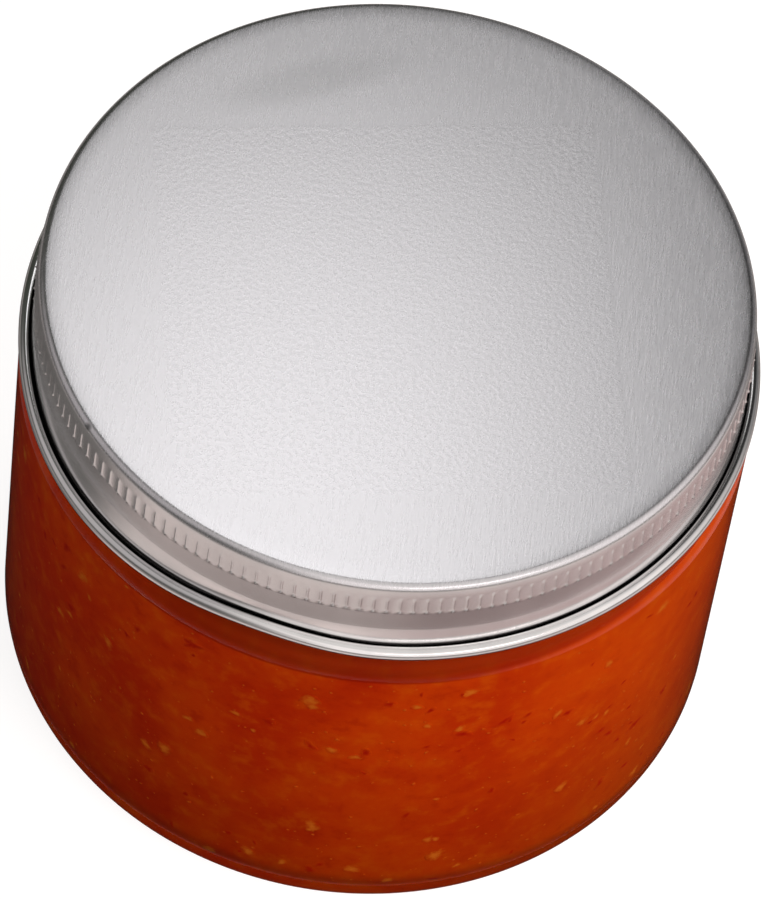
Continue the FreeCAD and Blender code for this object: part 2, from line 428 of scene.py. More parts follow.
def spot_mask(tree, place, middle, radius):
    """1 at a point of the lid's edge, fading to 0 at radius from it."""
    away = measure(tree, "DISTANCE", place, (*middle, LID_TOP))
    return ease(tree, away, 0.3 * radius, radius, 1.0, 0.0)


def panel_texture(tree, place, field):
    """The streaks outside the field and the grain inside it, as one number near 0.5."""
    streaks = add_node(
        tree,
        "ShaderNodeMapping",
        {"Vector": place, "Rotation": (0.0, 0.0, BRUSH_LEAN), "Scale": (1.0, STREAK_SQUEEZE, 1.0)},
    ).outputs[0]
    brushed = noise(tree, streaks, STREAKS_PER_METRE, 2.0, 0.6)
    grain = noise(tree, place, GRAINS_PER_METRE, 2.0, 0.5)
    return blend_values(tree, field, brushed, grain)


def metal_colour(tree, place, light, top, nick):
    """The panel's colour or the skirt's, with painted shade in the folds, and darkened at the
    nick.
    """
    base = blend_colours(tree, light, BRUSHED_DARK, BRUSHED_LIGHT)
    dulled = ease(tree, smear_mask(tree, place), 0.0, 1.0, 0.0, 0.18)
    base = blend_colours(tree, dulled, base, SMEAR_GREY)
    clouds = noise(tree, place, 160.0, 3.0, 0.6)
    skirt = blend_colours(tree, ease(tree, clouds, 0.3, 0.7), SKIRT_DARK, SKIRT_LIGHT)
    metal = blend_colours(tree, top, skirt, base)
    # Painted shade: the metal is darkened where the attribute fold is 1.
    fold = add_node(tree, "ShaderNodeAttribute", attribute_name="fold").outputs["Fac"]
    metal = blend_colours(tree, fold, metal, FOLD_PAINTED_SHADE)
    return blend_colours(tree, nick, metal, NICK_SHADE)


def make_metal():
    """Aluminium: brushed and grained on top, plain and satin on the skirt.

    light is the texture with its contrast set: 0.5 + contrast times (texture - 0.5),
    after the texture itself has been eased to run from 0 to 1.
    """
    material, tree, shader = new_material("aluminium_lid")
    place = add_node(tree, "ShaderNodeTexCoord").outputs["Object"]
    height = add_node(tree, "ShaderNodeSeparateXYZ", {"Vector": place}).outputs["Z"]
    top = ease(tree, height, LID_TOP - 1.0 * MM, LID_TOP - 0.25 * MM)
    field = square_mask(tree, place)
    nick = spot_mask(tree, place, NICK, NICK_RADIUS)
    texture = panel_texture(tree, place, field)
    contrast = ease(tree, field, 0.0, 1.0, STREAK_CONTRAST, GRAIN_CONTRAST)
    light = maths(tree, "SUBTRACT", ease(tree, texture, 0.22, 0.78), 0.5)
    light = maths(tree, "ADD", maths(tree, "MULTIPLY", light, contrast), 0.5)
    metal = metal_colour(tree, place, light, top, nick)
    tree.links.new(metal, shader.inputs["Base Color"])
    shader.inputs["Metallic"].default_value = 1.0
    rough_top = ease(tree, light, 0.0, 1.0, 0.225, 0.305)
    rough_skirt = ease(tree, height, CREASE_HEIGHT - 1 * MM, CREASE_HEIGHT, 0.16, 0.27)
    rough = blend_values(tree, top, rough_skirt, rough_top)
    tree.links.new(rough, shader.inputs["Roughness"])
    relief = maths(tree, "MULTIPLY", texture, ease(tree, top, 0.0, 1.0, 0.15, 1.0))
    relief = maths(tree, "MULTIPLY", relief, ease(tree, field, 0.0, 1.0, 0.5, 0.8))
    relief = maths(tree, "SUBTRACT", relief, maths(tree, "MULTIPLY", nick, 6.0))
    bump = add_node(
        tree, "ShaderNodeBump", {"Height": relief, "Distance": BRUSH_DEPTH, "Strength": 0.22}
    )
    tree.links.new(bump.outputs[0], shader.inputs["Normal"])
    return material


METAL = make_metal()

# %% [markdown]
# ## The lid
#
# One sheet of metal makes the whole lid: a flat panel with a tight crown round its
# edge, a skirt with a band of upright ribs for the fingers, a fold line below it, and
# at the foot a curl, the sheet rolled outwards and up so that no raw edge can cut.
# The curl stays a little open on top, which shows as a thin dark gap beside the skirt.
# Its outline runs from the underside of the panel, round the curl and up the outside.

# %% The lid's outline below the ribs
ROLL_STEPS = 26
ROLL_START = math.radians(-180)
ROLL_END = math.radians(117)
RAW_EDGE = 0.1 * MM


def arc(centre, radius, start, end, steps):
    """Points centre + radius (cos a, sin a) for a from start to end; radius may vary."""
    angles = np.linspace(start, end, steps)
    return np.stack([centre[0] + radius * np.cos(angles), centre[1] + radius * np.sin(angles)], 1)


def lid_underside():
    """From the panel's underside at the axis, down the skirt's inside to the curl."""
    corners = [
        (0.0, JAR_TOP, 0),
        (CROWN_RADIUS - SHEET, JAR_TOP, 0.3 * MM),
        (BAND_TOP - SHEET, RIB_TOP_HEIGHT, 0.5 * MM),
        (BAND_FOOT - SHEET, RIB_FOOT_HEIGHT, 0.1 * MM),
        (SKIRT_WAIST - SHEET, CREASE_HEIGHT, 0.3 * MM),
        (SKIRT_FOOT - SHEET, FLARE_FOOT_HEIGHT, 0.5 * MM),
        (SKIRT_FOOT - SHEET, CURL_ROOT_HEIGHT, 0),
    ]
    return rounded(corners, 3)


def lid_curl():
    """Round the curl's outside, over its raw edge, which is thin, and back inside."""
    centre = (CURL_CENTRE, CURL_HEIGHT)
    outside = arc(centre, CURL_ROUND, ROLL_START, ROLL_END, ROLL_STEPS)
    thickness = RAW_EDGE + (SHEET - RAW_EDGE) * np.linspace(0, 1, ROLL_STEPS) ** 0.5
    inside = arc(centre, CURL_ROUND - thickness, ROLL_END, ROLL_START, ROLL_STEPS)
    return np.concatenate([outside, inside])


def lid_foot():
    """Up the outside from the curl to just below the ribs."""
    corners = [
        (SKIRT_FOOT, CURL_ROOT_HEIGHT, 0),
        (SKIRT_FOOT, FLARE_FOOT_HEIGHT, 0.6 * MM),
        (SKIRT_WAIST, CREASE_HEIGHT, 0.15 * MM),
        (SKIRT_WAIST + 0.9 * (BAND_FOOT - SKIRT_WAIST), RIB_FOOT_HEIGHT - 0.3 * MM, 0),
    ]
    return spread(rounded(corners, 5), 0.8 * MM)


def edge_drop(across):
    """How far the panel sinks towards its edge: the drop times t^3, t from 0 to 1."""
    share = np.clip((across - CROWN_RADIUS + EDGE_WIDTH) / EDGE_WIDTH, 0, 1)
    return EDGE_DROP * share**3


def lid_crown():
    """From above the ribs over the crown's round, and in over the panel's edge."""
    reach = 1.3 * MM
    panel = CROWN_RADIUS - np.linspace(reach, EDGE_WIDTH, 8)
    heights = LID_TOP - edge_drop(panel)
    slope = 3 * EDGE_DROP * (1 - reach / EDGE_WIDTH) ** 2 / EDGE_WIDTH
    corners = [
        (BAND_TOP, RIB_TOP_HEIGHT + 0.15 * MM, 0),
        (CROWN_RADIUS, heights[0] - slope * reach, CROWN_ROUND),
    ]
    corners += [(across, height, 0) for across, height in zip(panel, heights)]
    corners.append((0.0, LID_TOP, 0))
    return rounded(corners, 14)


# %% [markdown]
# The ribs are low rounded ridges with rounded ends.  A rib is a smooth bump of the
# radius: a half wave across, times a rise and fall along its height.  The ring has
# eight points to each rib, most of them on the ridge itself.

# %% The ribbed band
RIB_HEIGHT = 0.11 * MM
BEAD_HEIGHT = 0.15 * MM
RIB_HALF_SHARE = 0.15
RIB_END_LENGTH = 0.45 * MM
RIB_FOOT_LENGTH = 0.6 * RIB_END_LENGTH
BEAD_PLACE = 0.34 * MM
BEAD_LENGTH = 0.19 * MM
RIB_POINTS = np.array([0.0, 0.05, 0.1, 0.15, 0.5, 0.85, 0.9, 0.95])
BAND_SHARES = np.concatenate([np.linspace(0, 0.26, 12), np.linspace(0.32, 1, 10)])


def rib_angles():
    """Angles of the fine ring: the same eight places in every rib's pitch."""
    pitch = 2 * math.pi / RIBS
    return ((np.arange(RIBS)[:, None] + RIB_POINTS[None, :]) * pitch).ravel()


def rib_bump(angles, height):
    """How far the ribs stand out: (1 + cos) / 2 across the ridge, times its height.

    The height rises and falls at the ends, and has a small bead near the lower one.
    """
    pitch = 2 * math.pi / RIBS
    share = np.abs((angles / pitch + 0.5) % 1.0 - 0.5) / RIB_HALF_SHARE
    across = 0.5 + 0.5 * np.cos(np.pi * np.clip(share, 0, 1))
    above_foot = height - RIB_FOOT_HEIGHT
    from_end = min(above_foot / RIB_FOOT_LENGTH, (RIB_TOP_HEIGHT - height) / RIB_END_LENGTH)
    along = np.sin(0.5 * np.pi * np.clip(from_end, 0, 1))
    bead = math.exp(-(((above_foot - BEAD_PLACE) / BEAD_LENGTH) ** 2))
    return (RIB_HEIGHT + BEAD_HEIGHT * bead) * across * along


def rib_band_rows():
    """The band's rings: a slight cone, widening downwards, with the ribs on it."""
    angles = rib_angles()
    rows = []
    for share in BAND_SHARES:
        height = RIB_FOOT_HEIGHT + (RIB_TOP_HEIGHT - RIB_FOOT_HEIGHT) * share
        radius = BAND_FOOT + (BAND_TOP - BAND_FOOT) * share
        rows.append(ring(radius + rib_bump(angles, height), height, angles))
    return rows


# %% [markdown]
# A thin curl never stays quite round.  On this lid it is bent at the front left: pushed
# in at one place and sprung out beside it.  Only the skirt's lower part moves, by a few
# tenths of a millimetre, so the bend fades out towards the fold line.

# %% The bend in the curl
BEND_OUT = ((0.5 * MM, -138, 36), (-0.25 * MM, -103, 18))
BEND_DOWN = ((0.4 * MM, -140, 38), (-0.35 * MM, -104, 24))
SPRING_OUT = ((0.24 * MM, -142, 52),)


def hump(angles, middle_deg, half_deg):
    """A smooth hump of the angle round the lid: (1 + cos) / 2, and 0 past its ends."""
    away = np.abs((np.degrees(angles) - middle_deg + 180) % 360 - 180)
    return 0.5 + 0.5 * np.cos(np.pi * np.clip(away / half_deg, 0, 1))


def shift(angles, humps):
    """The sum of humps, each told by its height, its middle and its half width."""
    return sum(size * hump(angles, middle, half) for size, middle, half in humps)


def bend_foot(points, free=0.0):
    """Moves the skirt's lower part out and down where the curl is bent.

    free is 1 at the curl's raw edge, which springs away from the skirt there.
    """
    angles = np.arctan2(points[:, 1], points[:, 0])
    radius = np.hypot(points[:, 0], points[:, 1])
    share = np.clip((CREASE_HEIGHT - points[:, 2]) / (CREASE_HEIGHT - CURL_HEIGHT), 0, 1)
    weight = share * share * (3 - 2 * share)
    radius = radius + weight * shift(angles, BEND_OUT) + free * shift(angles, SPRING_OUT)
    height = points[:, 2] - weight * shift(angles, BEND_DOWN)
    return np.stack([radius * np.cos(angles), radius * np.sin(angles), height], axis=1)


# %% [markdown]
# The rows are joined from the panel's underside to its top.  The attribute fold, which
# places the painted shade, is set row by row: it is 1 at the raw edge on the curl's inside
# and falls to 0 along the roll, and it grows down the skirt's foot into the gap behind the curl.

# %% Build the lid
FOLD_START = 0.35 * MM
FOLD_LENGTH = 0.4 * MM
FOLD_AT_RAW_EDGE = 0.9


def make_lid():
    """The whole lid as one closed skin, with the attribute fold for painted shade on its points.
    """
    coarse = even_angles(RIBS * 2)
    under, curl, foot = lid_underside()[1:], lid_curl(), lid_foot()
    above = spread(lid_crown(), 3.0 * MM)[:-1]
    turn = np.linspace(0, 1, ROLL_STEPS)
    free = np.concatenate([turn, turn[::-1]]) ** 4
    inside = np.concatenate([0 * turn, np.sqrt(turn[::-1])])
    depth = np.clip((FLARE_FOOT_HEIGHT - FOLD_START - foot[:, 1]) / FOLD_LENGTH, 0, 1)
    rows = [ring(0.0, JAR_TOP, [0.0])]
    rows += [bend_foot(ring(radius, height, coarse)) for radius, height in under]
    rows += [bend_foot(ring(*place, coarse), share) for place, share in zip(curl, free)]
    rows += [bend_foot(ring(radius, height, coarse)) for radius, height in foot]
    rows += rib_band_rows()
    rows += [ring(radius, height, coarse) for radius, height in above]
    rows.append(ring(0.0, LID_TOP, [0.0]))
    points, faces = skin(rows)
    piece = make_piece("lid_metal", points, faces, METAL)
    row_fold = np.zeros(len(rows))
    first = 1 + len(under)
    row_fold[first : first + len(curl)] = np.maximum(inside, FOLD_AT_RAW_EDGE * (free > 0.95))
    row_fold[first + len(curl) : first + len(curl) + len(foot)] = depth
    fold = np.repeat(row_fold, [len(row) for row in rows])
    attribute = piece.data.attributes.new("fold", "FLOAT", "POINT")
    attribute.data.foreach_set("value", fold.astype(np.float32))
    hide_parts("lid")


make_lid()

# %% [markdown]
# ## The glass
#
# The jar is clear glass a little over two millimetres thick, thicker in its heel.  A
# Principled shader with full transmission bends the light as glass does, so the sauce
# seems to reach right out to the jar's side.  A dark specular tint holds back what the
# glass mirrors, so that little of the room lies over the sauce.  Lamps can't send
# shadow rays through bent glass, so for those rays alone the glass is made transparent;
# otherwise the sauce behind it would lie in the dark.

# %% The glass
def make_glass():
    """Clear glass that lets the lamps' light through."""
    material, tree, shader = new_material("clear_glass")
    place = add_node(tree, "ShaderNodeTexCoord").outputs["Object"]
    shader.inputs["Base Color"].default_value = (0.985, 0.99, 0.985, 1)
    shader.inputs["Transmission Weight"].default_value = 1.0
    shader.inputs["IOR"].default_value = 1.45
    shader.inputs["Specular Tint"].default_value = (0.02, 0.02, 0.02, 1)
    shader.inputs["Roughness"].default_value = 0.03
    waves = noise(tree, place, 60.0, 1.0)
    bump = add_node(
        tree, "ShaderNodeBump", {"Height": waves, "Distance": 0.4 * MM, "Strength": 0.08}
    )
    tree.links.new(bump.outputs[0], shader.inputs["Normal"])
    path = add_node(tree, "ShaderNodeLightPath")
    clear = add_node(tree, "ShaderNodeBsdfTransparent", {"Color": (0.96, 0.97, 0.96, 1)})
    choice = add_node(tree, "ShaderNodeMixShader", {0: path.outputs["Is Shadow Ray"]})
    tree.links.new(shader.outputs[0], choice.inputs[1])
    tree.links.new(clear.outputs[0], choice.inputs[2])
    tree.links.new(choice.outputs[0], tree.nodes["Material Output"].inputs["Surface"])
    return material


def glass_outline():
    """From the base's centre up the outside, over the rim and down the inside."""
    return rounded(
        [
            (0.0, 0.0, 0),
            (JAR_RADIUS, 0.0, HEEL_ROUND),
            (JAR_RADIUS, SHOULDER_FOOT, SHOULDER_ROUND),
            (NECK_RADIUS, SHOULDER_TOP, NECK_ROOT_ROUND),
            (NECK_RADIUS, JAR_TOP, RIM_ROUND),
            (NECK_BORE, JAR_TOP, RIM_ROUND),
            (NECK_BORE, SHOULDER_BORE_TOP, NECK_ROOT_ROUND),
            (SAUCE_RADIUS, SHOULDER_BORE_FOOT, SHOULDER_ROUND),
            (SAUCE_RADIUS, SAUCE_FLOOR, INNER_HEEL_ROUND),
            (0.0, SAUCE_FLOOR, 0),
        ],
        14,
    )


def make_turned(name, outline, material, around=256):
    """A closed turned piece; its outline starts and ends on the axis."""
    angles = even_angles(around)
    rows = [ring(0.0, outline[0, 1], [0.0])]
    rows += [ring(radius, height, angles) for radius, height in outline[1:-1]]
    rows.append(ring(0.0, outline[-1, 1], [0.0]))
    points, faces = skin(rows)
    return make_piece(name, points, faces, material)


GLASS = make_glass()
JAR = make_turned("jar_glass", spread(glass_outline(), 4.0 * MM), GLASS)
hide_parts("jar")

# %% [markdown]
# ## The sauce
#
# The sauce is thick, and is made opaque: orange-red, with soft clouds of deeper red and
# small patches of lighter orange.  It fills the jar, so its side is the inside of the
# glass; the piece reaches a hair's breadth into the wall, so that no film of air shows
# between them.
#
# Slow changes of painted light and shade lie over the clouds.  The sauce is painted
# lighter upwards and lighter and warmer to the right, where the key light falls.  From
# just below the shoulder upwards painted shade darkens it, which shows as a ring under the
# lid, with a thin darker red line painted at the ring's foot; both are weaker at the left.
# Light soaks through real sauce and reaches its foot, which an opaque piece can't show, so
# a weak glow there stands for it.

# %% The sauce
REACH = 0.06 * MM
SHADE_FOOT = SHOULDER_BORE_FOOT - 1.3 * MM
GLOW_HEIGHT = 3.2 * MM
GLOW_SIDE = (0.8, -0.6, 0.0)

SAUCE_DEEP = (0.46, 0.022, 0.0, 1)
SAUCE_PLAIN = (0.54, 0.042, 0.0, 1)
SAUCE_LIGHT = (0.60, 0.092, 0.0005, 1)
SAUCE_DARK = (0.38, 0.012, 0.0, 1)
# Painted shade: the ring under the shoulder, and the darker line at its foot.
RING_PAINTED_SHADE = (0.19, 0.011, 0.0004, 1)
RING_PAINTED_LINE = (0.27, 0.005, 0.0, 1)


def sauce_colour(tree, place):
    """Orange-red with its clouds and patches, then painted light and the painted shade ring.

    around weakens the ring at the left, and lift raises its foot on the right.
    """
    clouds = noise(tree, place, 70.0, 2.0, 0.5)
    mottle = noise(tree, place, 330.0, 4.0, 0.6)
    colour = blend_colours(tree, ease(tree, clouds, 0.35, 0.62), SAUCE_DEEP, SAUCE_PLAIN)
    colour = blend_colours(tree, ease(tree, mottle, 0.46, 0.80, 0.0, 0.6), colour, SAUCE_LIGHT)
    colour = blend_colours(tree, ease(tree, mottle, 0.26, 0.47, 0.55, 0.0), colour, SAUCE_DARK)
    parts = add_node(tree, "ShaderNodeSeparateXYZ", {"Vector": place})
    height, across = parts.outputs["Z"], parts.outputs["X"]
    around = ease(tree, across, -0.95 * SAUCE_RADIUS, -0.3 * SAUCE_RADIUS, 0.3, 1.0)
    # Painted light: lighter and warmer towards the right, the side of the key light.
    painted_right_light = ease(tree, across, 0.2 * SAUCE_RADIUS, SAUCE_RADIUS, 0.0, 0.35)
    colour = blend_colours(tree, painted_right_light, colour, SAUCE_LIGHT)
    # Painted light and shade: the sauce is darker towards its floor and lighter upwards.
    painted_height_light = ease(tree, height, SAUCE_FLOOR - 6 * MM, SHADE_FOOT, 0.84, 1.12)
    colour = blend_colours(tree, 1.0, colour, painted_height_light, "MULTIPLY")
    lift = ease(tree, across, 0.05 * SAUCE_RADIUS, 0.6 * SAUCE_RADIUS, 0.0, 0.5 * MM)
    height = maths(tree, "SUBTRACT", height, lift)
    # Painted shade ring from just below the shoulder upwards, with a darker line at its foot.
    shaded = ease(tree, height, SHADE_FOOT - 0.6 * MM, SHADE_FOOT + 0.5 * MM, 0.0, 0.75)
    shaded = maths(tree, "MULTIPLY", shaded, around)
    colour = blend_colours(tree, shaded, colour, RING_PAINTED_SHADE)
    offset = maths(tree, "ABSOLUTE", maths(tree, "SUBTRACT", height, SHADE_FOOT - 0.15 * MM))
    line = maths(tree, "MULTIPLY", ease(tree, offset, 0.0, 0.5 * MM, 0.6, 0.0), around)
    return blend_colours(tree, line, colour, RING_PAINTED_LINE)


def make_sauce_material():
    """Opaque sauce: its colour, hardly any shine of its own, and the glow in its foot."""
    material, tree, shader = new_material("chilli_sauce")
    place = add_node(tree, "ShaderNodeTexCoord").outputs["Object"]
    colour = sauce_colour(tree, place)
    tree.links.new(colour, shader.inputs["Base Color"])
    shader.inputs["Roughness"].default_value = 0.6
    shader.inputs["Specular IOR Level"].default_value = 0.05
    height = add_node(tree, "ShaderNodeSeparateXYZ", {"Vector": place}).outputs["Z"]
    low = ease(tree, height, SAUCE_FLOOR, SAUCE_FLOOR + GLOW_HEIGHT, 0.40, 0.0)
    side = measure(tree, "DOT_PRODUCT", place, GLOW_SIDE)
    side = ease(tree, side, -SAUCE_RADIUS, 0.6 * SAUCE_RADIUS, 0.35, 1.0)
    tree.links.new(colour, shader.inputs["Emission Color"])
    tree.links.new(maths(tree, "MULTIPLY", low, side), shader.inputs["Emission Strength"])
    material.cycles.emission_sampling = "NONE"
    return material


def sauce_outline():
    """The inside of the glass, a little larger, from the floor's centre to the level."""
    return rounded(
        [
            (0.0, SAUCE_FLOOR - REACH, 0),
            (SAUCE_RADIUS + REACH, SAUCE_FLOOR - REACH, INNER_HEEL_ROUND + REACH),
            (SAUCE_RADIUS + REACH, SHOULDER_BORE_FOOT, SHOULDER_ROUND),
            (NECK_BORE + REACH, SHOULDER_BORE_TOP, NECK_ROOT_ROUND),
            (NECK_BORE + REACH, SAUCE_TOP, 0),
            (0.0, SAUCE_TOP, 0),
        ],
        14,
    )


SAUCE_RED = make_sauce_material()
SAUCE = make_turned("sauce_fill", spread(sauce_outline(), 3.0 * MM), SAUCE_RED)
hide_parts("sauce")

# %% [markdown]
# ## Seeds and bits of chilli
#
# What floats against the glass is what gives a sauce its scale: pale seeds up to three
# millimetres, dark red flakes of skin, and fine light specks.  Each kind is one mesh.
# A bit is a flat lens, its outline a little irregular, that lies against the inside of
# the wall.  Hundreds of them are worked out at once: one array axis counts the bits and
# the other the points of a lens.  An attribute, heart, is 1 in the middle of a lens and
# 0 at its rim, and the material uses it to let the rim melt into the sauce, because the
# sauce covers the edges of a real seed.

# %% The sauce's side as a strip
def side_strip():
    """The side's outline, its normals and its length so far, from the heel to the neck.

    The normal is the outline's direction turned outwards by a quarter.
    """
    outline = spread(sauce_outline(), 0.3 * MM)
    low, high = SAUCE_FLOOR + 0.3 * MM, SHADE_FOOT - 0.8 * MM
    outline = outline[(outline[:, 1] > low) & (outline[:, 1] < high)]
    steps = np.gradient(outline, axis=0)
    steps /= np.linalg.norm(steps, axis=1)[:, None]
    lengths = np.linalg.norm(np.diff(outline, axis=0), axis=1)
    return outline, np.stack([steps[:, 1], -steps[:, 0]], axis=1), np.append(0, np.cumsum(lengths))


# %% Lenses pressed against the glass
LENS_BULGE = 0.03 * MM
LENS_SINK = 0.01 * MM
LENS_BACK = -1.5
WAVER_TWICE, WAVER_THRICE = 0.18, 0.14


def lens_faces(around, rings):
    """Triangles of one lens: a fan in front, bands between its rings, a fan behind."""
    here = np.arange(around)
    after = (here + 1) % around
    blocks = [np.stack([np.zeros(around, int), 1 + here, 1 + after], axis=1)]
    for index in range(rings - 1):
        low, high = 1 + index * around, 1 + (index + 1) * around
        blocks.append(np.stack([low + here, high + here, high + after], axis=1))
        blocks.append(np.stack([low + here, high + after, low + after], axis=1))
    last = 1 + (rings - 1) * around
    back = np.full(around, rings * around + 1)
    blocks.append(np.stack([back, last + after, last + here], axis=1))
    return np.concatenate(blocks)


def scatter_lenses(name, seed, count, sizes, stretch, material, around=10, rings=4):
    """Many flat irregular lenses in one mesh.

    Across its width w and length l, the point of a lens at angle t and share s of the
    way out is s (w cos t, l sin t) / 2, times an outline that wavers with cos 2t and
    cos 3t.  It bulges outwards by (1 - s^2).  The lens is laid on the sauce's side as
    on a strip: one way is length along the outline and the other is arc round the jar.
    """
    rng = np.random.default_rng(seed)
    outline, normals, lengths = side_strip()
    at = rng.uniform(0, lengths[-1], count)[:, None]
    azimuth = rng.uniform(0, 2 * math.pi, count)[:, None]
    size = sizes[0] + (sizes[1] - sizes[0]) * rng.random(count) ** sizes[2]
    length = size * rng.uniform(*stretch, count)
    tilt = rng.uniform(0, math.pi, count)[:, None]
    waver = rng.uniform(0, 2 * math.pi, (2, count, 1))
    turn = even_angles(around)[None, :]
    edge = 1 + WAVER_TWICE * np.cos(2 * turn + waver[0])
    edge = edge + WAVER_THRICE * np.cos(3 * turn + waver[1])
    share = np.linspace(0, 1, rings + 1)[1:][None, :, None]
    across = (0.5 * share * (size[:, None] * np.cos(turn) * edge)[:, None, :]).reshape(count, -1)
    along = (0.5 * share * (length[:, None] * np.sin(turn) * edge)[:, None, :]).reshape(count, -1)
    ones = np.ones((count, 1))
    side = np.hstack([0 * ones, across * np.cos(tilt) - along * np.sin(tilt), 0 * ones])
    rise = np.hstack([0 * ones, across * np.sin(tilt) + along * np.cos(tilt), 0 * ones])
    out = np.broadcast_to(share, (count, rings, around)).reshape(count, -1)
    bulge = np.hstack([ones, 1 - out**2, LENS_BACK * ones]) * LENS_BULGE - LENS_SINK
    heart = np.hstack([ones, 1 - out, 0 * ones])
    place = np.clip(at + rise, 0, lengths[-1])
    radius = np.interp(place, lengths, outline[:, 0])
    radius = radius + np.interp(place, lengths, normals[:, 0]) * bulge
    height = np.interp(place, lengths, outline[:, 1])
    height = height + np.interp(place, lengths, normals[:, 1]) * bulge
    angle = azimuth + side / radius[:, :1]
    points = np.stack([radius * np.cos(angle), radius * np.sin(angle), height], axis=2)
    steps = (rings * around + 2) * np.arange(count)[:, None, None]
    faces = (lens_faces(around, rings)[None] + steps).reshape(-1, 3)
    piece = make_piece(name, points.reshape(-1, 3), [faces], material)
    attribute = piece.data.attributes.new("heart", "FLOAT", "POINT")
    attribute.data.foreach_set("value", heart.ravel().astype(np.float32))


# %% The bits' materials
def make_bit_material(name, heart_colour, start, reach):
    """A bit's colour in its middle, melting into the sauce's colour at its rim."""
    material, tree, shader = new_material(name)
    place = add_node(tree, "ShaderNodeTexCoord").outputs["Object"]
    heart = add_node(tree, "ShaderNodeAttribute", attribute_name="heart").outputs["Fac"]
    waver = ease(tree, noise(tree, place, 1600.0), 0.3, 0.7, -0.15, 0.15)
    share = ease(tree, maths(tree, "ADD", heart, waver), start, reach)
    rim = sauce_colour(tree, place)
    tree.links.new(blend_colours(tree, share, rim, heart_colour), shader.inputs["Base Color"])
    shader.inputs["Roughness"].default_value = 0.6
    shader.inputs["Specular IOR Level"].default_value = 0.05
    return material


PALE_SEED = make_bit_material("pale_seed", (0.64, 0.15, 0.010, 1), 0.12, 1.0)
RED_FLAKE = make_bit_material("red_flake", (0.40, 0.009, 0.0002, 1), 0.15, 1.0)
LIGHT_SPECK = make_bit_material("light_speck", (0.62, 0.11, 0.008, 1), 0.1, 1.0)
scatter_lenses("pale_seeds", 11, 130, (1.2 * MM, 3.3 * MM, 1.5), (0.7, 1.3), PALE_SEED)
scatter_lenses("red_flakes", 12, 160, (0.8 * MM, 2.2 * MM, 1.4), (1.1, 2.2), RED_FLAKE)
scatter_lenses("light_specks", 13, 1500, (0.2 * MM, 0.7 * MM, 1.8), (0.8, 1.6), LIGHT_SPECK, 6, 2)

# %% [markdown]
# ## The room
#
# Glass and metal show mostly what they mirror, so the room is made for them.  A camera
# that looks down steeply sees the floor mirrored in the jar's side and in the skirt, and
# the back of the sky mirrored in the flat top.  Neither the floor nor the sky is one even
# tone, therefore; but to the camera, and through clear glass, both are plain and near
# white.
#
# For what is mirrored, the floor carries painted light and shade: a painted pool of light,
# light and warm in front, most of all at the left, and painted shade, dark grey, behind.  A
# dark disc of painted shade round the jar keeps a pale haze from lying over the sauce.

# %% The floor
FLOOR_HALF = 4.0
FLOOR_SINK = 0.05 * MM
DISC_CENTRE = (0.0, -0.0135, 0.0)
DISC_RADIUS = 0.0735
DISC_SOFT_RADIUS = 0.0768
MIRRORED_LIFT = 0.0065
WHITE_LIFT = 0.80

# Painted light and shade that only mirrored rays see: the pool's tones, the shade behind and far
# off, and the dark disc.
FLOOR_LEFT = (0.62, 0.55, 0.535, 1)
FLOOR_RIGHT = (0.335, 0.25, 0.25, 1)
FLOOR_ROUND = (0.50, 0.46, 0.45, 1)
FLOOR_PAINTED_SHADE = (0.12, 0.117, 0.115, 1)
FLOOR_FAR = (0.22, 0.21, 0.205, 1)
FLOOR_DISC_PAINTED_SHADE = (0.018, 0.004, 0.002, 1)
FLOOR_SEEN = (0.30, 0.295, 0.29, 1)


def seen_directly(tree, mirrored):
    """1 for rays from the camera, also through clear glass, and mirrored for glossy ones."""
    path = add_node(tree, "ShaderNodeLightPath")
    first = maths(tree, "LESS_THAN", path.outputs["Diffuse Depth"], 0.5)
    through = maths(tree, "MULTIPLY", path.outputs["Is Transmission Ray"], first)
    direct = maths(tree, "MAXIMUM", path.outputs["Is Camera Ray"], through)
    reflected = maths(tree, "MULTIPLY", path.outputs["Is Glossy Ray"], mirrored)
    return maths(tree, "MAXIMUM", direct, reflected)


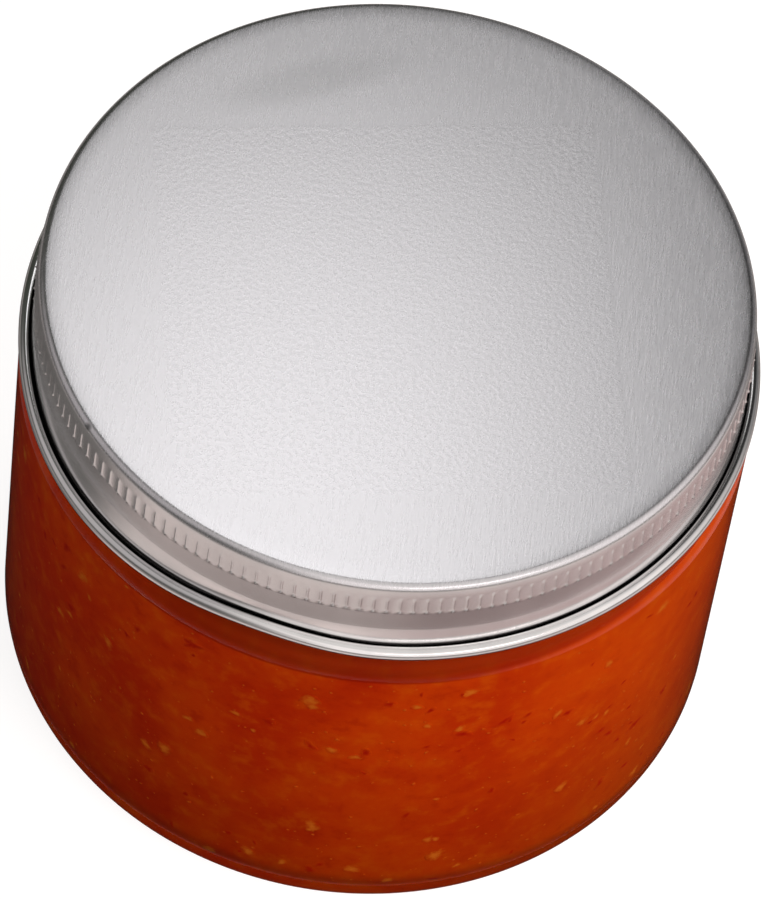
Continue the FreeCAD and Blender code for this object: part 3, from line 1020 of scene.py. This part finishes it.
def make_floor():
    """A large floor with painted light and shade, the tones that glass and metal are to mirror.

    To the camera, and through clear glass, it has one plain tone and is lifted to near
    white by a glow, so that the jar's shadow still shows faintly.
    """
    material, tree, shader = new_material("pale_floor")
    place = add_node(tree, "ShaderNodeTexCoord").outputs["Object"]
    forwards = Vector((0.45, -1.0, 0.0)).normalized()
    # Painted pool of light in front of the jar, fading to painted shade behind.
    painted_pool_of_light = ease(tree, measure(tree, "DOT_PRODUCT", place, forwards), -0.016, 0.03)
    away = measure(tree, "LENGTH", place)
    across = add_node(tree, "ShaderNodeSeparateXYZ", {"Vector": place}).outputs["X"]
    front = blend_colours(tree, ease(tree, across, -0.005, 0.035), FLOOR_LEFT, FLOOR_RIGHT)
    front = blend_colours(tree, ease(tree, away, 0.088, 0.12), front, FLOOR_ROUND)
    # A disc of painted shade round the jar.
    off_disc = measure(tree, "DISTANCE", place, DISC_CENTRE)
    off_disc = ease(tree, off_disc, DISC_RADIUS, DISC_SOFT_RADIUS)
    colour = blend_colours(tree, painted_pool_of_light, FLOOR_PAINTED_SHADE, front)
    colour = blend_colours(tree, ease(tree, away, 0.14, 0.22), colour, FLOOR_FAR)
    colour = blend_colours(tree, off_disc, FLOOR_DISC_PAINTED_SHADE, colour)
    colour = blend_colours(tree, seen_directly(tree, 0.0), colour, FLOOR_SEEN)
    tree.links.new(colour, shader.inputs["Base Color"])
    shader.inputs["Roughness"].default_value = 0.9
    shader.inputs["Specular IOR Level"].default_value = 0.1
    shader.inputs["Emission Color"].default_value = (1, 1, 1, 1)
    lift = maths(tree, "MULTIPLY", seen_directly(tree, MIRRORED_LIFT), WHITE_LIFT)
    tree.links.new(lift, shader.inputs["Emission Strength"])
    signs = ((-1, -1), (1, -1), (1, 1), (-1, 1))
    corners = [(x * FLOOR_HALF, y * FLOOR_HALF, -FLOOR_SINK) for x, y in signs]
    mesh = bpy.data.meshes.new("floor")
    mesh.from_pydata(corners, [], [(0, 1, 2, 3)])
    mesh.materials.append(material)
    floor = bpy.data.objects.new("floor", mesh)
    bpy.context.scene.collection.objects.link(floor)


make_floor()

# %% [markdown]
# The sky is dark grey with soft round patches laid over it one after the other.  A patch
# is told by its middle, by the cosines of the angles at which it fades in and is full,
# and by its colour.

# %% The sky
SKY_GREY = (0.14, 0.14, 0.14, 1)
SKY_SEEN = (1, 1, 1, 1)
SKY_PATCHES = (
    ((0.5, -0.8, 0.33), -0.1, 0.8, (0.95, 0.90, 0.88, 1)),  # front
    ((0.40, 0.6, 0.69), 0.91, 0.985, (0.02, 0.02, 0.02, 1)),  # right and back
    ((0.0, 0.97, 0.24), 0.90, 0.99, (0.42, 0.41, 0.41, 1)),  # low at the back
    ((0.14, -0.18, 1.0), 0.85, 0.97, (0.70, 0.68, 0.66, 1)),  # above
    ((-0.75, 0.66, 0.0), 0.1, 0.8, (0.04, 0.044, 0.036, 1)),  # left
    ((-0.9, -0.4, 0.1), 0.42, 0.85, (0.10, 0.10, 0.095, 1)),  # left and near
    ((-0.75, -0.1, 0.65), 0.78, 0.96, (0.42, 0.40, 0.40, 1)),  # high at the left
)


def make_sky():
    """The soft room: a grey sky with its patches, and white where it is seen directly."""
    world = bpy.data.worlds.new("studio")
    bpy.context.scene.world = world
    world.use_nodes = True
    world.cycles.sampling_method = "NONE"
    tree = world.node_tree
    background = tree.nodes["Background"]
    direction = add_node(tree, "ShaderNodeTexCoord").outputs["Generated"]
    colour = SKY_GREY
    for middle, start, full, patch_colour in SKY_PATCHES:
        turned = measure(tree, "DOT_PRODUCT", direction, Vector(middle).normalized())
        colour = blend_colours(tree, ease(tree, turned, start, full), colour, patch_colour)
    colour = blend_colours(tree, seen_directly(tree, 0.0), colour, SKY_SEEN)
    tree.links.new(colour, background.inputs["Color"])


make_sky()

# %% [markdown]
# The lamps are soft boxes.  The flat top mirrors the one that hangs above and behind the
# jar.  The key light stands at the front right, so the sauce is brightest there, and a
# narrow box beside it leaves a glint on the metal.  Three more fill the shade at the left
# and behind.  Only the overhead box and the glint box are mirrored.

# %% The lamps
CENTRE = (0.0, 0.0, 0.5 * LID_TOP)
OVERHEAD = (-0.026, 0.335)
WHITE = (1.0, 1.0, 1.0)
KEY_WHITE = (1.0, 0.97, 0.94)
GLINT_WHITE = (1.0, 0.98, 0.97)
FILL_WHITE = (1.0, 0.98, 0.96)
LAMPS = (  # name, place, aim, width and height, brightness, colour, mirrored
    ("overhead_box", (*OVERHEAD, LID_TOP + 0.6), (*OVERHEAD, 0.0), (0.16, 0.28), 1.6, WHITE, True),
    ("key_box", (0.45, -0.32, 0.50), CENTRE, (0.4, 0.4), 7.5, KEY_WHITE, False),
    ("glint_box", (0.30, -0.52, 0.46), CENTRE, (0.4, 0.06), 2.2, GLINT_WHITE, True),
    ("fill_box", (-0.72, -0.22, 0.40), CENTRE, (0.5, 0.4), 2.0, FILL_WHITE, False),
    ("back_box", (0.42, 0.56, 0.30), CENTRE, (0.5, 0.4), 3.6, FILL_WHITE, False),
    ("rear_box", (-0.50, 0.50, 0.45), CENTRE, (0.5, 0.4), 2.2, FILL_WHITE, False),
)


def soft_box(name, place, aim, size, brightness, colour, mirrored):
    """A rectangular lamp.  Its power is brightness x pi x area, as for an even sheet."""
    width, height = size
    lamp = bpy.data.lights.new(name, "AREA")
    lamp.shape = "RECTANGLE"
    lamp.size = width
    lamp.size_y = height
    lamp.energy = brightness * math.pi * width * height
    lamp.color = colour
    holder = bpy.data.objects.new(name, lamp)
    holder.location = place
    holder.rotation_euler = (Vector(aim) - Vector(place)).to_track_quat("-Z", "Y").to_euler()
    holder.visible_transmission = False
    holder.visible_glossy = mirrored
    bpy.context.scene.collection.objects.link(holder)


for lamp_values in LAMPS:
    soft_box(*lamp_values)

# %% [markdown]
# ## The camera
#
# A long lens well above the jar, looking down steeply and tipped a little to one side,
# so the jar leans to the left in the picture.

# %% The camera
CAMERA_DISTANCE = 0.7958
CAMERA_ELEVATION = math.radians(54.05)
CAMERA_ROLL = math.radians(8.30)
CAMERA_AIM = Vector((0.0007, -0.0245, LID_TOP))
LENS = 260.3
SENSOR_WIDTH = 36.0


def make_camera():
    """Looks from the front and above at CAMERA_AIM, turned about its own line of sight."""
    data = bpy.data.cameras.new("camera")
    data.lens = LENS
    data.sensor_width = SENSOR_WIDTH
    data.clip_start = 0.05
    camera = bpy.data.objects.new("camera", data)
    away = Vector((0.0, -math.cos(CAMERA_ELEVATION), math.sin(CAMERA_ELEVATION)))
    location = Vector((0.0, 0.0, LID_TOP)) + away * CAMERA_DISTANCE
    forward = (CAMERA_AIM - location).normalized()
    level = forward.cross(Vector((0, 0, 1))).normalized()
    upright = level.cross(forward)
    right = level * math.cos(CAMERA_ROLL) + upright * math.sin(CAMERA_ROLL)
    up = right.cross(forward)
    turn = Matrix((right, up, -forward)).transposed()
    camera.matrix_world = Matrix.Translation(location) @ turn.to_4x4()
    bpy.context.scene.collection.objects.link(camera)
    bpy.context.scene.camera = camera


make_camera()
bpy.context.scene.view_settings.view_transform = "Standard"
